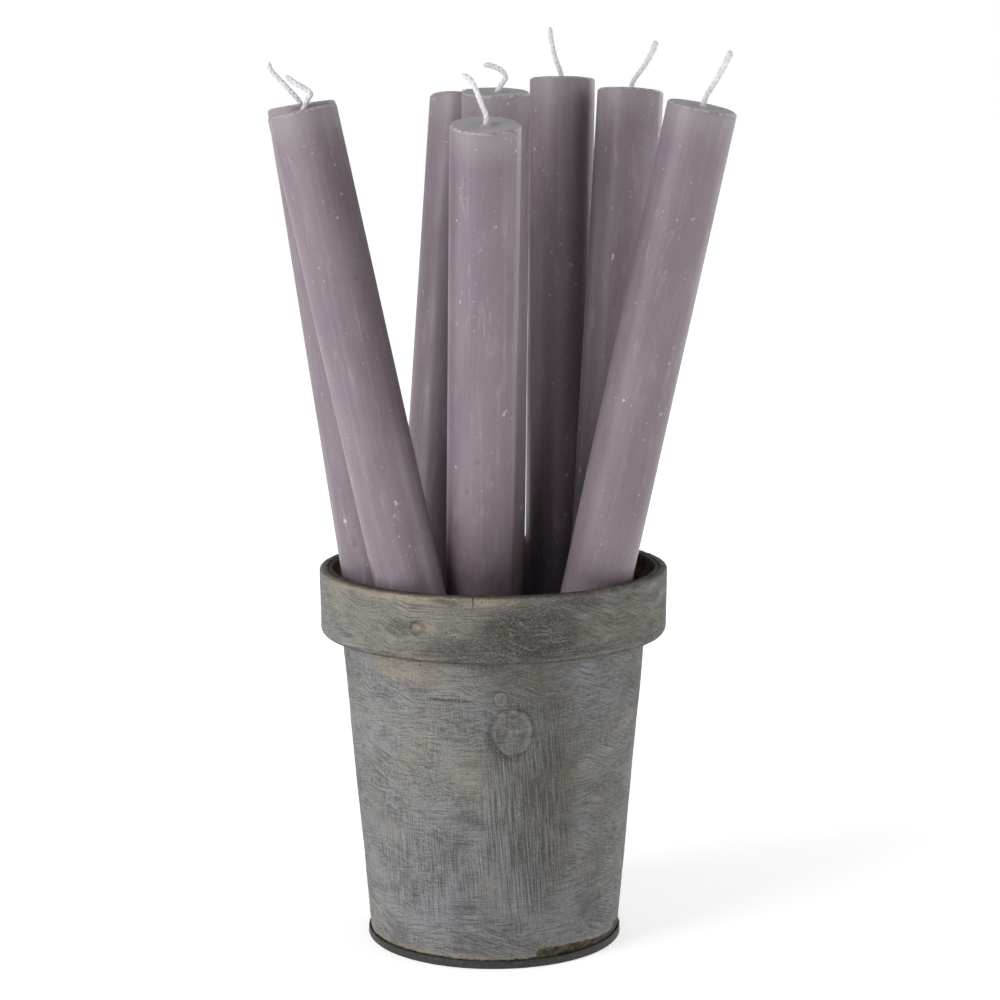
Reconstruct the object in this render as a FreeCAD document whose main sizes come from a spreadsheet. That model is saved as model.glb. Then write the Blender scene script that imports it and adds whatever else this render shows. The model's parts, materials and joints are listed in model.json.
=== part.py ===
"""Tin pot with a stepped collar, holding eight rustic dinner candles.

Millimetres, +Z up. The origin is the centre of the pot's flat underside.
The pot is five sheet-metal pieces and two small applied ones. Each candle is a
wax stick and a wick, placed by where its foot stands and how far it leans.
"""
import FreeCAD, Part

import math
import os

import Sketcher

# alias: (value, what it is)
SIZES = {
    "pot_height": (119.5, "underside to lip"),
    "skin": (0.8, "sheet thickness of the wall and plate"),
    "foot_radius": (39.5, "outside of the wall at the bottom plate"),
    "shoulder_radius": (48.1, "outside of the wall under the collar"),
    "neck_radius": (49.3, "outside of the wall where its flare begins"),
    "flare_height": (112.0, "where the wall begins to flare"),
    "hem_outer_radius": (52.0, "outside of the folded edge at the mouth"),
    "hem_width": (1.4, "folded edge, across"),
    "hem_depth": (4.0, "folded edge, downwards"),
    "collar_floor": (99.0, "underside of the collar"),
    "collar_low_radius": (54.7, "outside of the collar at its lower edge"),
    "collar_top_radius": (55.0, "outside of the collar at the lip"),
    "collar_skin": (0.7, "sheet thickness of the collar"),
    "collar_low_round": (1.6, "rounding of the collar's lower edge"),
    "collar_top_round": (0.6, "rounding of the collar's upper edge"),
    "lip_gap": (0.15, "joint line between the hem and the collar"),
    "joint_width": (0.6, "slit where the collar's ends meet"),
    "joint_turn": (-96.0, "bearing of the slit, degrees from +X"),
    "joint_reach": (3.4, "how far the slit runs in from the lip"),
    "lap_width": (9.0, "strip behind the slit, along the collar"),
    "lap_skin": (0.5, "strip behind the slit, thickness"),
    "plate_radius": (39.7, "bottom plate, and inside of the crimped ring"),
    "ring_radius": (40.5, "outside of the crimped ring"),
    "ring_height": (2.6, "crimped ring, upwards"),
    "ring_round": (0.35, "rounding of the ring's edges"),
    "seam_width": (6.0, "lap seam at the back"),
    "seam_skin": (0.5, "lap seam, proud of the wall"),
    "boss_width": (13.2, "oval patch, across"),
    "boss_height": (15.6, "oval patch, upwards"),
    "boss_proud": (0.8, "oval patch, proud of the wall"),
    "boss_offset": (5.8, "oval patch, right of the middle"),
    "boss_level": (76.3, "middle of the oval patch"),
    "rivet_radius": (2.2, "small round head"),
    "rivet_proud": (0.9, "small round head, proud of the wall"),
    "rivet_offset": (2.1, "small round head, right of the middle"),
    "rivet_level": (87.0, "middle of the small round head"),
    "candle_radius": (10.4, "wax stick"),
    "crown_round": (1.1, "rounding at the top of the wax"),
    "heel_chamfer": (0.6, "chamfer at the foot of the wax"),
    "stand_clearance": (0.3, "between a candle's foot and the plate"),
    "wick_radius": (0.8, "wick"),
    "bore_play": (0.02, "between the wick and its bore"),
    "wick_rise": (4.0, "straight wick above the wax"),
    "wick_bend_radius": (9.0, "bend of the free wick"),
}

# One row per candle: where the foot stands, the lean from upright and its bearing, the
# length of the wax, then the free wick: bearing in the candle's frame, bend and straight tip.
CANDLES = [
    # foot_x, foot_y, lean, bearing, length, wick_turn, wick_bend, wick_tip
    (-1.0, -28.0, 12.1, -178.0, 265.0, 178.0, 38.0, 4.0),
    (-19.5, -14.5, 8.7, 167.0, 264.0, 176.0, 42.0, 7.0),
    (-27.5, 5.5, 12.7, 73.0, 268.0, 170.0, 60.0, 1.0),
    (-1.7, 28.0, 6.9, -85.0, 267.0, 182.0, 40.0, 1.5),
    (-6.0, 7.0, 13.2, -86.0, 262.0, 186.0, 34.0, 4.5),
    (19.5, 19.5, 4.5, 82.0, 270.0, 184.0, 16.0, 8.5),
    (28.0, 0.0, 6.8, 60.0, 267.0, 2.0, 30.0, 6.0),
    (8.5, -9.0, 13.2, -29.0, 267.0, 4.0, 40.0, 7.0),
]
CANDLE_COLUMNS = (
    "foot_x", "foot_y", "lean", "bearing", "length", "wick_turn", "wick_bend", "wick_tip",
)

doc = FreeCAD.newDocument("tin_pot_of_candles")
sheet = doc.addObject("Spreadsheet::Sheet", "Dimensions")


def fill_sheet():
    """Write every driving dimension into a row of its own, with its alias."""
    row = 1
    for alias, (value, meaning) in SIZES.items():
        write_cell(row, alias, value, meaning)
        row += 1
    for number, candle in enumerate(CANDLES, start=1):
        for column, value in zip(CANDLE_COLUMNS, candle):
            write_cell(row, f"{column}_{number}", value, f"candle {number}")
            row += 1
    doc.recompute()


def write_cell(row, alias, value, meaning):
    sheet.set(f"A{row}", meaning)
    sheet.set(f"B{row}", str(value))
    sheet.setAlias(f"B{row}", alias)


def total(terms):
    """Value of a sum of aliases, such as "plate_radius - skin"."""
    result = 0.0
    sign = 1
    for word in terms.split():
        if word in ("+", "-"):
            sign = 1 if word == "+" else -1
        else:
            result += sign * sheet.get(word)
    return result


def formula(terms):
    """The same sum as an expression that reads the spreadsheet."""
    return " ".join(word if word in ("+", "-") else f"Dimensions.{word}" for word in terms.split())


def bind(thing, **expressions):
    for name, expression in expressions.items():
        thing.setExpression(name, expression)


def origin_plane(body, role):
    return next(item for item in body.Origin.OriginFeatures if item.Role == role)


def new_sketch(body, name, role):
    sketch = body.newObject("Sketcher::SketchObject", name)
    sketch.AttachmentSupport = [(origin_plane(body, role), "")]
    sketch.MapMode = "FlatFace"
    return sketch


def draw_outline(sketch, corners):
    """Closed outline through (across, up) corners, each bound to the spreadsheet.

    None stands for the zero line.
    """
    places = [(total(a) if a else 0.0, total(u) if u else 0.0) for a, u in corners]
    count = len(places)
    for index in range(count):
        start = FreeCAD.Vector(*places[index], 0)
        end = FreeCAD.Vector(*places[(index + 1) % count], 0)
        sketch.addGeometry(Part.LineSegment(start, end), False)
    for index in range(count):
        sketch.addConstraint(Sketcher.Constraint("Coincident", index, 2, (index + 1) % count, 1))
    for index, (across, up) in enumerate(corners):
        place_corner(sketch, index, "DistanceX", across, places[index][0], -2)
        place_corner(sketch, index, "DistanceY", up, places[index][1], -1)


def place_corner(sketch, index, kind, terms, value, axis):
    """Bind one coordinate of a corner, or put the corner on an axis of the sketch."""
    if terms is None:
        sketch.addConstraint(Sketcher.Constraint("PointOnObject", index, 1, axis))
        return
    number = sketch.addConstraint(Sketcher.Constraint(kind, -1, 1, index, 1, value))
    sketch.setExpression(f"Constraints[{number}]", formula(terms))


def turned_body(name, corners):
    """Body made by turning an outline (radius, height) about +Z."""
    body = doc.addObject("PartDesign::Body", name)
    sketch = new_sketch(body, name + "_outline", "XZ_Plane")
    draw_outline(sketch, corners)
    turn = body.newObject("PartDesign::Revolution", name + "_turn")
    turn.Profile = sketch
    turn.ReferenceAxis = (sketch, ["V_Axis"])
    turn.Angle = 360
    doc.recompute()
    return body


def rings_at(shape, places):
    """Names of the circular edges at the given (radius, height) places."""
    names = []
    for number, edge in enumerate(shape.Edges, start=1):
        if not isinstance(edge.Curve, Part.Circle):
            continue
        for radius, height in places:
            if abs(edge.Curve.Radius - radius) < 0.01 and abs(edge.Curve.Center.z - height) < 0.01:
                names.append(f"Edge{number}")
    return names


def dress_rings(body, kind, name, places, size_name, size_terms):
    """Fillet or chamfer the circular edges at the given places."""
    base = body.Tip
    dress = body.newObject(kind, name)
    dress.Base = (base, rings_at(base.Shape, places))
    dress.setExpression(size_name, formula(size_terms))
    doc.recompute()
    return dress


def make_pot_wall():
    """Cone from the bottom plate to the neck, a flare, and a folded edge round the mouth."""
    corners = [
        ("foot_radius - skin", "skin"),
        ("foot_radius", "skin"),
        ("shoulder_radius", "collar_floor"),
        ("neck_radius", "flare_height"),
        ("hem_outer_radius", "pot_height - hem_depth"),
        ("hem_outer_radius", "pot_height"),
        ("hem_outer_radius - hem_width", "pot_height"),
        ("hem_outer_radius - hem_width", "pot_height - hem_depth"),
        ("neck_radius - skin", "flare_height"),
        ("shoulder_radius - skin", "collar_floor"),
    ]
    return turned_body("pot_wall", corners)


def make_collar_band():
    """Step, outer face and lip of the collar, slit where its two ends meet."""
    corners = [
        ("shoulder_radius + lip_gap", "collar_floor"),
        ("collar_low_radius", "collar_floor"),
        ("collar_top_radius", "pot_height"),
        ("hem_outer_radius + lip_gap", "pot_height"),
        ("hem_outer_radius + lip_gap", "pot_height - collar_skin"),
        ("collar_top_radius - collar_skin", "pot_height - collar_skin"),
        ("collar_low_radius - collar_skin", "collar_floor + collar_skin"),
        ("shoulder_radius + lip_gap", "collar_floor + collar_skin"),
    ]
    band = turned_body("collar_band_whole", corners)
    low = (total("collar_low_radius"), total("collar_floor"))
    top = (total("collar_top_radius"), total("pot_height"))
    dress_rings(band, "PartDesign::Fillet", "collar_low_edge", [low], "Radius", "collar_low_round")
    dress_rings(band, "PartDesign::Fillet", "collar_top_edge", [top], "Radius", "collar_top_round")
    slit = doc.addObject("Part::Box", "collar_slit")
    bind(
        slit,
        Length="Dimensions.joint_reach",
        Width="Dimensions.joint_width",
        Height="2 * Dimensions.collar_skin",
    )
    place = (
        "create(<<placement>>; create(<<vector>>; "
        "(Dimensions.collar_top_radius - Dimensions.joint_reach + 1) * cos(Dimensions.joint_turn); "
        "(Dimensions.collar_top_radius - Dimensions.joint_reach + 1) * sin(Dimensions.joint_turn); "
        "Dimensions.pot_height - Dimensions.collar_skin); "
        "create(<<rotation>>; create(<<vector>>; 0; 0; 1); Dimensions.joint_turn))"
    )
    slit.setExpression("Placement", place)
    return combine("Part::Cut", "collar_band", band, slit)


def make_collar_lap():
    """Upright strip behind the slit, against the inside of the collar."""
    corners = [
        ("collar_low_radius - collar_skin - lap_skin", "collar_floor + collar_skin"),
        ("collar_low_radius - collar_skin", "collar_floor + collar_skin"),
        ("collar_top_radius - collar_skin", "pot_height - collar_skin"),
        ("collar_top_radius - collar_skin - lap_skin", "pot_height - collar_skin"),
    ]
    hoop = turned_body("collar_lap_hoop", corners)
    window = doc.addObject("Part::Box", "collar_lap_window")
    bind(
        window,
        Length="2 * Dimensions.joint_reach",
        Width="Dimensions.lap_width",
        Height="Dimensions.pot_height",
    )
    reach = "(Dimensions.collar_top_radius - Dimensions.joint_reach)"
    half = "Dimensions.lap_width / 2"
    turn = "Dimensions.joint_turn"
    place = (
        f"create(<<placement>>; create(<<vector>>; {reach} * cos({turn}) + {half} * sin({turn}); "
        f"{reach} * sin({turn}) - {half} * cos({turn}); 0); "
        f"create(<<rotation>>; create(<<vector>>; 0; 0; 1); {turn}))"
    )
    window.setExpression("Placement", place)
    return combine("Part::Common", "collar_lap", hoop, window)


def make_bottom_plate():
    corners = [
        (None, None),
        ("plate_radius", None),
        ("plate_radius", "skin"),
        (None, "skin"),
    ]
    return turned_body("bottom_plate", corners)


def make_base_ring():
    """Crimped ring that holds the plate and hides the foot of the wall."""
    corners = [
        ("plate_radius", None),
        ("ring_radius", None),
        ("ring_radius", "ring_height"),
        ("plate_radius", "ring_height"),
    ]
    ring = turned_body("base_ring", corners)
    outer_edges = [(total("ring_radius"), 0.0), (total("ring_radius"), total("ring_height"))]
    dress_rings(ring, "PartDesign::Fillet", "base_ring_edges", outer_edges, "Radius", "ring_round")
    return ring


def make_wall_skin(name, proud):
    """Hoop that lies on the outside of the wall, from the plate to the collar."""
    corners = [
        ("foot_radius", "skin"),
        (f"foot_radius + {proud}", "skin"),
        (f"shoulder_radius + {proud}", "collar_floor"),
        ("shoulder_radius", "collar_floor"),
    ]
    return turned_body(name, corners)


def make_side_seam():
    """Lap seam up the back of the wall, between the ring and the collar."""
    hoop = make_wall_skin("side_seam_hoop", "seam_skin")
    window = doc.addObject("Part::Box", "side_seam_window")
    bind(
        window,
        Length="Dimensions.seam_width",
        Width="Dimensions.ring_radius",
        Height="Dimensions.collar_floor - Dimensions.ring_height",
    )
    place = (
        "create(<<placement>>; create(<<vector>>; -Dimensions.seam_width / 2; "
        "Dimensions.foot_radius / 2; Dimensions.ring_height); "
        "create(<<rotation>>; create(<<vector>>; 0; 0; 1); 0))"
    )
    window.setExpression("Placement", place)
    return combine("Part::Common", "side_seam", hoop, window)


def make_front_boss():
    """Oval patch on the front of the wall."""
    hoop = make_wall_skin("front_boss_hoop", "boss_proud")
    oval = doc.addObject("Part::Ellipse", "front_boss_oval")
    bind(
        oval,
        MajorRadius="Dimensions.boss_height / 2",
        MinorRadius="Dimensions.boss_width / 2",
    )
    place = (
        "create(<<placement>>; create(<<vector>>; Dimensions.boss_offset; "
        "-1.5 * Dimensions.shoulder_radius; Dimensions.boss_level); "
        "create(<<rotation>>; create(<<vector>>; 1; 1; 1); -120))"
    )
    oval.setExpression("Placement", place)
    column = doc.addObject("Part::Extrusion", "front_boss_column")
    column.Base = oval
    column.DirMode = "Custom"
    column.Dir = (0, 1, 0)
    column.Solid = True
    column.setExpression("LengthFwd", "Dimensions.shoulder_radius")
    doc.recompute()
    return combine("Part::Common", "front_boss", hoop, column)


def make_boss_rivet():
    """Small round head on the wall beside the patch."""
    corners = [
        (None, "skin"),
        ("foot_radius", "skin"),
        ("shoulder_radius", "collar_floor"),
        (None, "collar_floor"),
    ]
    core = turned_body("boss_rivet_core", corners)
    head = doc.addObject("Part::Ellipsoid", "boss_rivet_head")
    bind(
        head,
        Radius1="Dimensions.rivet_proud",
        Radius2="Dimensions.rivet_radius",
        Radius3="Dimensions.rivet_radius",
    )
    rise = "(Dimensions.rivet_level - Dimensions.skin) / (Dimensions.collar_floor - Dimensions.skin)"
    wall = f"(Dimensions.foot_radius + (Dimensions.shoulder_radius - Dimensions.foot_radius) * {rise})"
    place = (
        f"create(<<placement>>; create(<<vector>>; Dimensions.rivet_offset; -{wall}; "
        "Dimensions.rivet_level); create(<<rotation>>; create(<<vector>>; 1; 0; 0); 90))"
    )
    head.setExpression("Placement", place)
    return combine("Part::Cut", "boss_rivet", head, core)


def combine(kind, name, base, tool):
    """Boolean of two objects, as the sub-part of that name."""
    result = doc.addObject(kind, name)
    result.Base = base
    result.Tool = tool
    doc.recompute()
    return result


def candle_place(number, extra_turn=""):
    """Expression for a candle's placement: foot on the plate, leaning to its bearing."""
    lean = f"Dimensions.lean_{number}"
    bearing = f"Dimensions.bearing_{number}"
    lowest = f"Dimensions.skin + Dimensions.stand_clearance + Dimensions.candle_radius * sin({lean})"
    return (
        f"create(<<placement>>; create(<<vector>>; Dimensions.foot_x_{number}; "
        f"Dimensions.foot_y_{number}; {lowest}); "
        f"create(<<rotation>>; create(<<vector>>; -sin({bearing}); cos({bearing}); 0); {lean}))"
        + extra_turn
    )


def make_candle_wax(number):
    """Wax stick with a bore, a rounded crown and a chamfered heel."""
    bore = "wick_radius + bore_play"
    height = f"length_{number}"
    corners = [
        (bore, None),
        ("candle_radius", None),
        ("candle_radius", height),
        (bore, height),
    ]
    wax = turned_body(f"candle_wax_{number}", corners)
    crown = [(total("candle_radius"), total(height))]
    heel = [(total("candle_radius"), 0.0)]
    dress_rings(wax, "PartDesign::Fillet", f"crown_{number}", crown, "Radius", "crown_round")
    dress_rings(wax, "PartDesign::Chamfer", f"heel_{number}", heel, "Size", "heel_chamfer")
    wax.setExpression("Placement", candle_place(number))
    return wax


def make_candle_wick(number):
    """Wick up the whole candle, one bend above the wax and a straight tip."""
    body = doc.addObject("PartDesign::Body", f"candle_wick_{number}")
    section = new_sketch(body, f"wick_section_{number}", "XY_Plane")
    radius = total("wick_radius")
    section.addGeometry(Part.Circle(FreeCAD.Vector(), FreeCAD.Vector(0, 0, 1), radius), False)
    section.addConstraint(Sketcher.Constraint("Coincident", 0, 3, -1, 1))
    size = section.addConstraint(Sketcher.Constraint("Radius", 0, radius))
    section.setExpression(f"Constraints[{size}]", formula("wick_radius"))
    route = new_sketch(body, f"wick_route_{number}", "XZ_Plane")
    draw_wick_route(route, number)
    pipe = body.newObject("PartDesign::AdditivePipe", f"wick_pipe_{number}")
    pipe.Profile = section
    pipe.Spine = (route, ["Edge1", "Edge2", "Edge3"])
    doc.recompute()
    turn = (
        " * create(<<placement>>; create(<<vector>>; 0; 0; 0); "
        f"create(<<rotation>>; create(<<vector>>; 0; 0; 1); Dimensions.wick_turn_{number}))"
    )
    body.setExpression("Placement", candle_place(number, turn))
    return body


def draw_wick_route(route, number):
    """Straight run, tangent bend towards +X and straight tip, in the candle's own frame."""
    upright = total(f"length_{number} + wick_rise")
    bend_radius = total("wick_bend_radius")
    bend = math.radians(total(f"wick_bend_{number}"))
    tip = total(f"wick_tip_{number}")
    top = FreeCAD.Vector(0, upright, 0)
    centre = top + FreeCAD.Vector(bend_radius, 0, 0)
    arc_end = centre + FreeCAD.Vector(-math.cos(bend), math.sin(bend), 0) * bend_radius
    tip_end = arc_end + FreeCAD.Vector(math.sin(bend), math.cos(bend), 0) * tip
    circle = Part.Circle(centre, FreeCAD.Vector(0, 0, 1), bend_radius)
    route.addGeometry(Part.LineSegment(FreeCAD.Vector(), top), False)
    route.addGeometry(Part.ArcOfCircle(circle, math.pi - bend, math.pi), False)
    route.addGeometry(Part.LineSegment(arc_end, tip_end), False)
    route.addConstraint(Sketcher.Constraint("Coincident", 0, 1, -1, 1))
    route.addConstraint(Sketcher.Constraint("Vertical", 0))
    route.addConstraint(Sketcher.Constraint("Tangent", 0, 2, 1, 2))
    route.addConstraint(Sketcher.Constraint("Tangent", 1, 1, 2, 1))
    sizes = [
        (Sketcher.Constraint("DistanceY", 0, 1, 0, 2, upright), formula(f"length_{number} + wick_rise")),
        (Sketcher.Constraint("Radius", 1, bend_radius), formula("wick_bend_radius")),
        (Sketcher.Constraint("Distance", 2, tip), formula(f"wick_tip_{number}")),
        (
            Sketcher.Constraint("Angle", 2, math.pi / 2 - bend),
            f"(90 - Dimensions.wick_bend_{number}) * 1 deg",
        ),
    ]
    for constraint, expression in sizes:
        index = route.addConstraint(constraint)
        route.setExpression(f"Constraints[{index}]", expression)


def check_document():
    """Stop before anything is written if an object failed."""
    for item in doc.Objects:
        if "Invalid" in item.State or "Error" in item.State:
            raise RuntimeError(f"{item.Name} is {item.State}")


def export(sub_parts):
    os.makedirs("parts", exist_ok=True)
    for item in sub_parts:
        if item.Shape.isNull() or not item.Shape.isValid() or item.Shape.Volume <= 0:
            raise RuntimeError(f"{item.Label} has no valid solid")
    for item in sub_parts:
        item.Shape.exportStep(f"parts/{item.Label}.step")
        print(f"{item.Label}: {item.Shape.Volume:.1f} mm3, {len(item.Shape.Solids)} solid")


fill_sheet()
sub_parts = [
    make_pot_wall(),
    make_collar_band(),
    make_collar_lap(),
    make_bottom_plate(),
    make_base_ring(),
    make_side_seam(),
    make_front_boss(),
    make_boss_rivet(),
]
for candle_number in range(1, len(CANDLES) + 1):
    sub_parts.append(make_candle_wax(candle_number))
    sub_parts.append(make_candle_wick(candle_number))
for sub_part in sub_parts:
    sub_part.Label = sub_part.Name
doc.recompute()
check_document()
export(sub_parts)
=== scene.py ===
"""Looks for a weathered tin pot that holds eight rustic dinner candles.

Metres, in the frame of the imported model. Sizes inside the makers are millimetres
times MM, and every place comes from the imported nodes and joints.
"""

import json
import math

import bpy
import numpy as np
from mathutils import Matrix, Vector


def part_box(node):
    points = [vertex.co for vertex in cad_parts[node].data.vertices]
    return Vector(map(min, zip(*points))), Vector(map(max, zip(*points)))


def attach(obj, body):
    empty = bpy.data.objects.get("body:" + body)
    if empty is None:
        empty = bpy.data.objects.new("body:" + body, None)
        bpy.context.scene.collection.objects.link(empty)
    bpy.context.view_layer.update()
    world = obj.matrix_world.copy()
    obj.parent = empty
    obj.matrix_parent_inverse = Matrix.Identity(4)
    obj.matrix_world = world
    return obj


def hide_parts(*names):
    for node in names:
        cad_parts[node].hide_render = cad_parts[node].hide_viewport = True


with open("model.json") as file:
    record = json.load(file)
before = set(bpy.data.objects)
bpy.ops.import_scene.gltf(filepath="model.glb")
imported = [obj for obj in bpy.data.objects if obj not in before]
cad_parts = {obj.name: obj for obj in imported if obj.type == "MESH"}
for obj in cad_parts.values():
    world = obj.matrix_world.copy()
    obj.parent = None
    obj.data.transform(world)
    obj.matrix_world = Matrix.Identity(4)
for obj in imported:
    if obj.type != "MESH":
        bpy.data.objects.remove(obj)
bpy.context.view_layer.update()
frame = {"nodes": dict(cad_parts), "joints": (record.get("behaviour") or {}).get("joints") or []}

MM = 0.001
CANDLES = range(1, 9)
AMBIENT = 0.29          # light from the white surroundings, where the camera sees them as 1


# ---------------------------------------------------------------- noise for the meshes

def lattice_noise(points, seed):
    """Smooth gradient noise, about -0.7 to 0.7, at an array of points."""
    rng = np.random.default_rng(seed)
    order = rng.permutation(256)
    slopes = rng.normal(size=(256, 3))
    slopes /= np.linalg.norm(slopes, axis=1)[:, None]
    cell = np.floor(points).astype(int)
    part = points - cell
    ease = part ** 3 * (part * (part * 6 - 15) + 10)
    result = np.zeros(len(points))
    for corner in np.ndindex(2, 2, 2):
        site = (cell + corner) & 255
        key = order[(order[(order[site[:, 0]] + site[:, 1]) & 255] + site[:, 2]) & 255]
        weight = np.prod(np.where(corner, ease, 1 - ease), axis=1)
        result += weight * np.einsum("ij,ij->i", slopes[key], part - corner)
    return result


def rough_noise(points, size_mm, seed, octaves=3):
    """Several layers of noise. size_mm is one size, or one for each axis."""
    grid = points / (np.array(size_mm, float) * MM)
    layers = [lattice_noise(grid * 2 ** n, seed + n) / 2 ** n for n in range(octaves)]
    return sum(layers)


def step(value, low, high):
    """Smooth 0 to 1 as value goes from low to high."""
    t = np.clip((value - low) / (high - low), 0, 1)
    return t * t * (3 - 2 * t)


# ---------------------------------------------------------------- mesh helpers

def grid_object(name, rows):
    """Object from rings of points, closed along both ways. rows is (rings, columns, 3)."""
    rings, columns, _ = rows.shape
    ring = np.arange(rings)[:, None]
    column = np.arange(columns)[None, :]
    corners = [
        ring * columns + column,
        ring * columns + (column + 1) % columns,
        (ring + 1) % rings * columns + (column + 1) % columns,
        (ring + 1) % rings * columns + column,
    ]
    faces = np.stack(corners, -1).reshape(-1, 4)
    mesh = bpy.data.meshes.new(name)
    mesh.from_pydata(rows.reshape(-1, 3).tolist(), [], faces.tolist())
    mesh.validate()
    mesh.shade_smooth()
    return link_object(name, mesh)


def link_object(name, mesh):
    thing = bpy.data.objects.new(name, mesh)
    bpy.context.scene.collection.objects.link(thing)
    return thing


def add_layer(thing, name, values):
    """Number at each vertex, which the materials read by name."""
    layer = thing.data.attributes.new(name, "FLOAT", "POINT")
    layer.data.foreach_set("value", np.asarray(values, np.float32).ravel())


def outline_points(corners, spacing):
    """Points along straight runs between (radius, height) corners, each run with its own spacing."""
    points = []
    for start, end, gap in zip(corners, corners[1:] + corners[:1], spacing):
        start, end = np.array(start, float), np.array(end, float)
        count = max(1, int(round(np.linalg.norm(end - start) / gap)))
        points.extend(start + (end - start) * n / count for n in range(count))
    return np.array(points)


def round_corner(centre, radius, start_deg, end_deg, count):
    """Points of an arc, as (radius, height) pairs."""
    turns = np.radians(np.linspace(start_deg, end_deg, count))
    return [(centre[0] + radius * math.cos(t), centre[1] + radius * math.sin(t)) for t in turns]


def lathe(outline_mm, bearings):
    """Rings of points round +Z: outline in millimetres, bearings in radians."""
    radius = outline_mm[:, 0][:, None] * MM
    height = outline_mm[:, 1][:, None] * MM
    x = radius * np.cos(bearings)[None, :]
    y = radius * np.sin(bearings)[None, :]
    return np.stack([x, y, np.broadcast_to(height, x.shape)], -1)


def push_out(rows, amount_mm):
    """Move every point away from the axis by its amount."""
    flat = rows[..., :2]
    length = np.linalg.norm(flat, axis=-1, keepdims=True)
    rows[..., :2] = flat + flat / np.maximum(length, 1e-9) * amount_mm[..., None] * MM
    return rows


# ---------------------------------------------------------------- material helpers

class Graph:
    """One material's nodes, built with short calls that return output sockets."""

    def __init__(self, name):
        self.material = bpy.data.materials.new(name)
        self.material.use_nodes = True
        self.tree = self.material.node_tree
        self.tree.nodes.clear()
        self.shader = self.tree.nodes.new("ShaderNodeBsdfPrincipled")
        output = self.tree.nodes.new("ShaderNodeOutputMaterial")
        self.tree.links.new(self.shader.outputs[0], output.inputs["Surface"])
        self.place = self.tree.nodes.new("ShaderNodeTexCoord").outputs["Object"]

    def feed(self, socket, value):
        if isinstance(value, bpy.types.NodeSocket):
            self.tree.links.new(value, socket)
        elif isinstance(value, (tuple, list)) and len(value) == 3 and socket.type == "RGBA":
            socket.default_value = (*value, 1.0)
        else:
            socket.default_value = value

    def set(self, **values):
        """Set or link inputs of the shader, by name with _ for a space."""
        for name, value in values.items():
            self.feed(self.shader.inputs[name.replace("_", " ")], value)

    def math(self, kind, *values):
        node = self.tree.nodes.new("ShaderNodeMath")
        node.operation = kind
        for socket, value in zip(node.inputs, values):
            self.feed(socket, value)
        return node.outputs[0]

    def add(self, a, b):
        return self.math("ADD", a, b)

    def times(self, a, b):
        return self.math("MULTIPLY", a, b)

    def most(self, a, b):
        return self.math("MAXIMUM", a, b)

    def layer(self, name):
        node = self.tree.nodes.new("ShaderNodeAttribute")
        node.attribute_name = name
        return node.outputs["Fac"]

    def split(self, vector=None):
        node = self.tree.nodes.new("ShaderNodeSeparateXYZ")
        self.feed(node.inputs[0], vector or self.place)
        return node.outputs

    def stretch(self, sizes_mm, shift=0.0):
        """Coordinates in which a step of one is that many millimetres along each axis."""
        node = self.tree.nodes.new("ShaderNodeMapping")
        node.inputs["Scale"].default_value = [1 / (s * MM) for s in sizes_mm]
        node.inputs["Location"].default_value = (shift, shift * 1.7, shift * 2.3)
        self.feed(node.inputs["Vector"], self.place)
        return node.outputs[0]

    def noise(self, sizes_mm, detail=3.0, rough=0.55, warp=0.0, shift=0.0):
        node = self.tree.nodes.new("ShaderNodeTexNoise")
        self.feed(node.inputs["Vector"], self.stretch(sizes_mm, shift))
        node.inputs["Scale"].default_value = 1.0
        node.inputs["Detail"].default_value = detail
        node.inputs["Roughness"].default_value = rough
        node.inputs["Distortion"].default_value = warp
        return node.outputs[0]

    def flecks(self, cell_mm, share, largest, shift=0.0, squeeze=1.0):
        """Sparse irregular flecks: share of the cells hold one, up to largest of a cell wide."""
        warp = self.noise((cell_mm * 0.22,) * 3, detail=3.0, shift=shift + 3.1)
        bent = self.tree.nodes.new("ShaderNodeVectorMath")
        bent.operation = "ADD"
        self.feed(bent.inputs[0], self.stretch((cell_mm, cell_mm, cell_mm * squeeze), shift))
        offset = self.tree.nodes.new("ShaderNodeCombineXYZ")
        for socket in offset.inputs:
            self.feed(socket, self.times(warp, 0.6))
        self.feed(bent.inputs[1], offset.outputs[0])
        cells = self.tree.nodes.new("ShaderNodeTexVoronoi")
        cells.inputs["Scale"].default_value = 1.0
        self.feed(cells.inputs["Vector"], bent.outputs[0])
        chance = self.split(cells.outputs["Color"])[0]
        size = self.ramp(chance, 1.0 - share, 1.0, 0.0, largest, smooth=False)
        edge = self.math("SUBTRACT", size, cells.outputs["Distance"])
        return self.ramp(edge, 0.0, largest * 0.25)

    def ramp(self, value, low, high, out_low=0.0, out_high=1.0, smooth=True):
        node = self.tree.nodes.new("ShaderNodeMapRange")
        node.interpolation_type = "SMOOTHSTEP" if smooth else "LINEAR"
        for name, number in (
            ("From Min", low), ("From Max", high), ("To Min", out_low), ("To Max", out_high),
        ):
            node.inputs[name].default_value = number
        self.feed(node.inputs["Value"], value)
        return node.outputs[0]

    def blend(self, share, a, b):
        """Colour a, with that share of colour b over it."""
        node = self.tree.nodes.new("ShaderNodeMix")
        node.data_type = "RGBA"
        node.clamp_factor = True
        colours = [s for s in node.inputs if s.type == "RGBA"]
        self.feed(node.inputs[0], share)
        self.feed(colours[0], a)
        self.feed(colours[1], b)
        return next(s for s in node.outputs if s.type == "RGBA")

    def bump(self, height, depth_mm, strength):
        node = self.tree.nodes.new("ShaderNodeBump")
        node.inputs["Strength"].default_value = strength
        node.inputs["Distance"].default_value = depth_mm * MM
        self.feed(node.inputs["Height"], height)
        self.feed(self.shader.inputs["Normal"], node.outputs[0])


def paint_over(thing, material):
    thing.data.materials.clear()
    thing.data.materials.append(material)


# ---------------------------------------------------------------- reading the frame

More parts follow.
